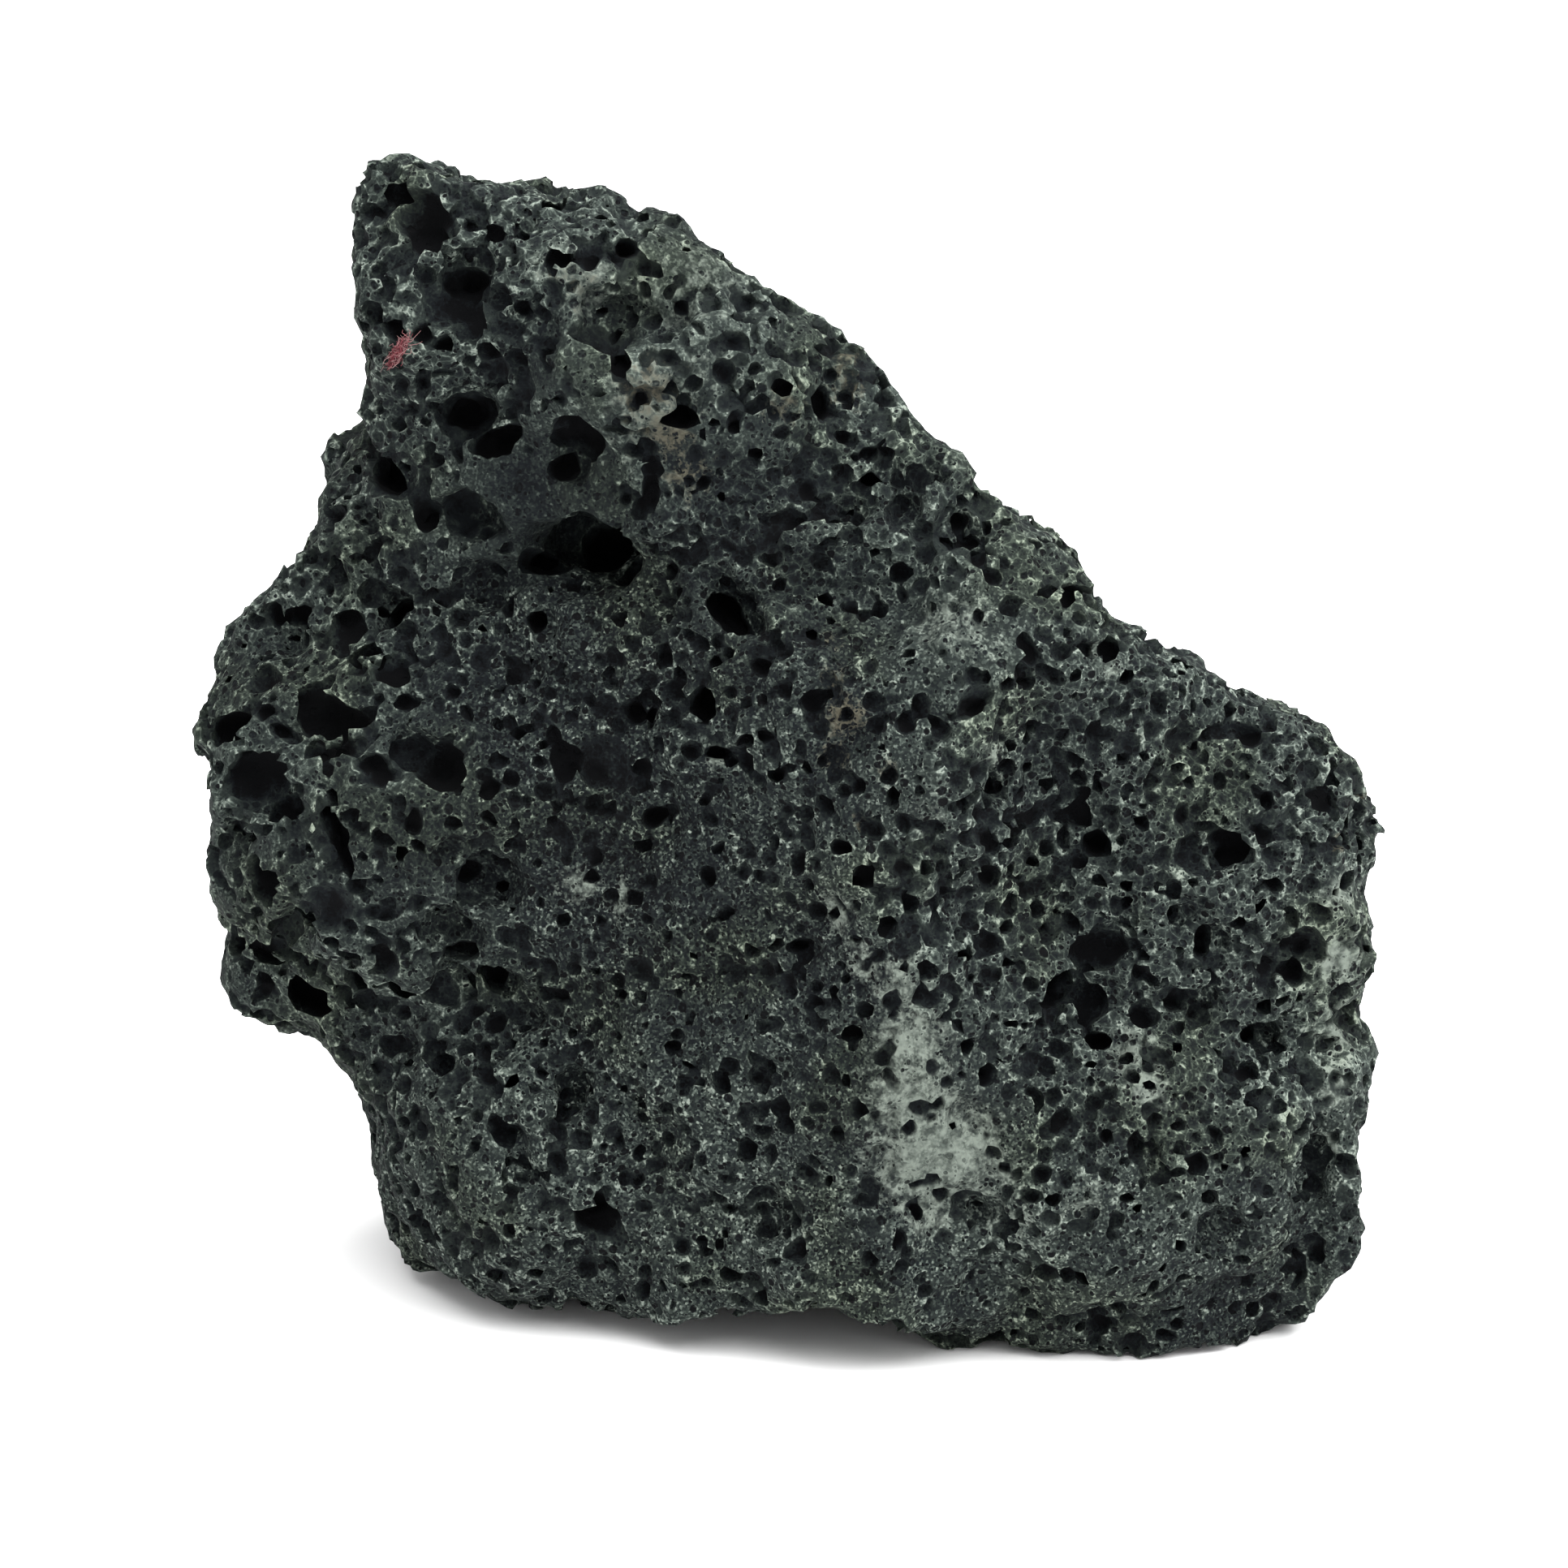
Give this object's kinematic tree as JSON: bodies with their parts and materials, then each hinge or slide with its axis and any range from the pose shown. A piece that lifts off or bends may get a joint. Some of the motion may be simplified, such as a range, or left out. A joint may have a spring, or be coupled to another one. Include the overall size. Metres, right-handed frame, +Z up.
{
  "type": "lava rock",
  "caption": "Rough upright chunk of dark vesicular basalt with a blunt horn, a long sloping shoulder and open gas bubbles all over, standing on its broken base.",
  "frame": {"origin": "middle of the bounding box, at the level the stone rests on", "axes": "+X runs from the horn's side towards the sloping shoulder, +Y runs from the ridged front towards the back, +Z is up"},
  "size_m": [0.1822, 0.1138, 0.1805],
  "materials": {
    "basalt": "matt, rough and porous, charcoal with pale greenish grey rims and grey dust"
  },
  "bodies": {
    "root": {"lava_rock": "basalt"}
  },
  "joints": []
}
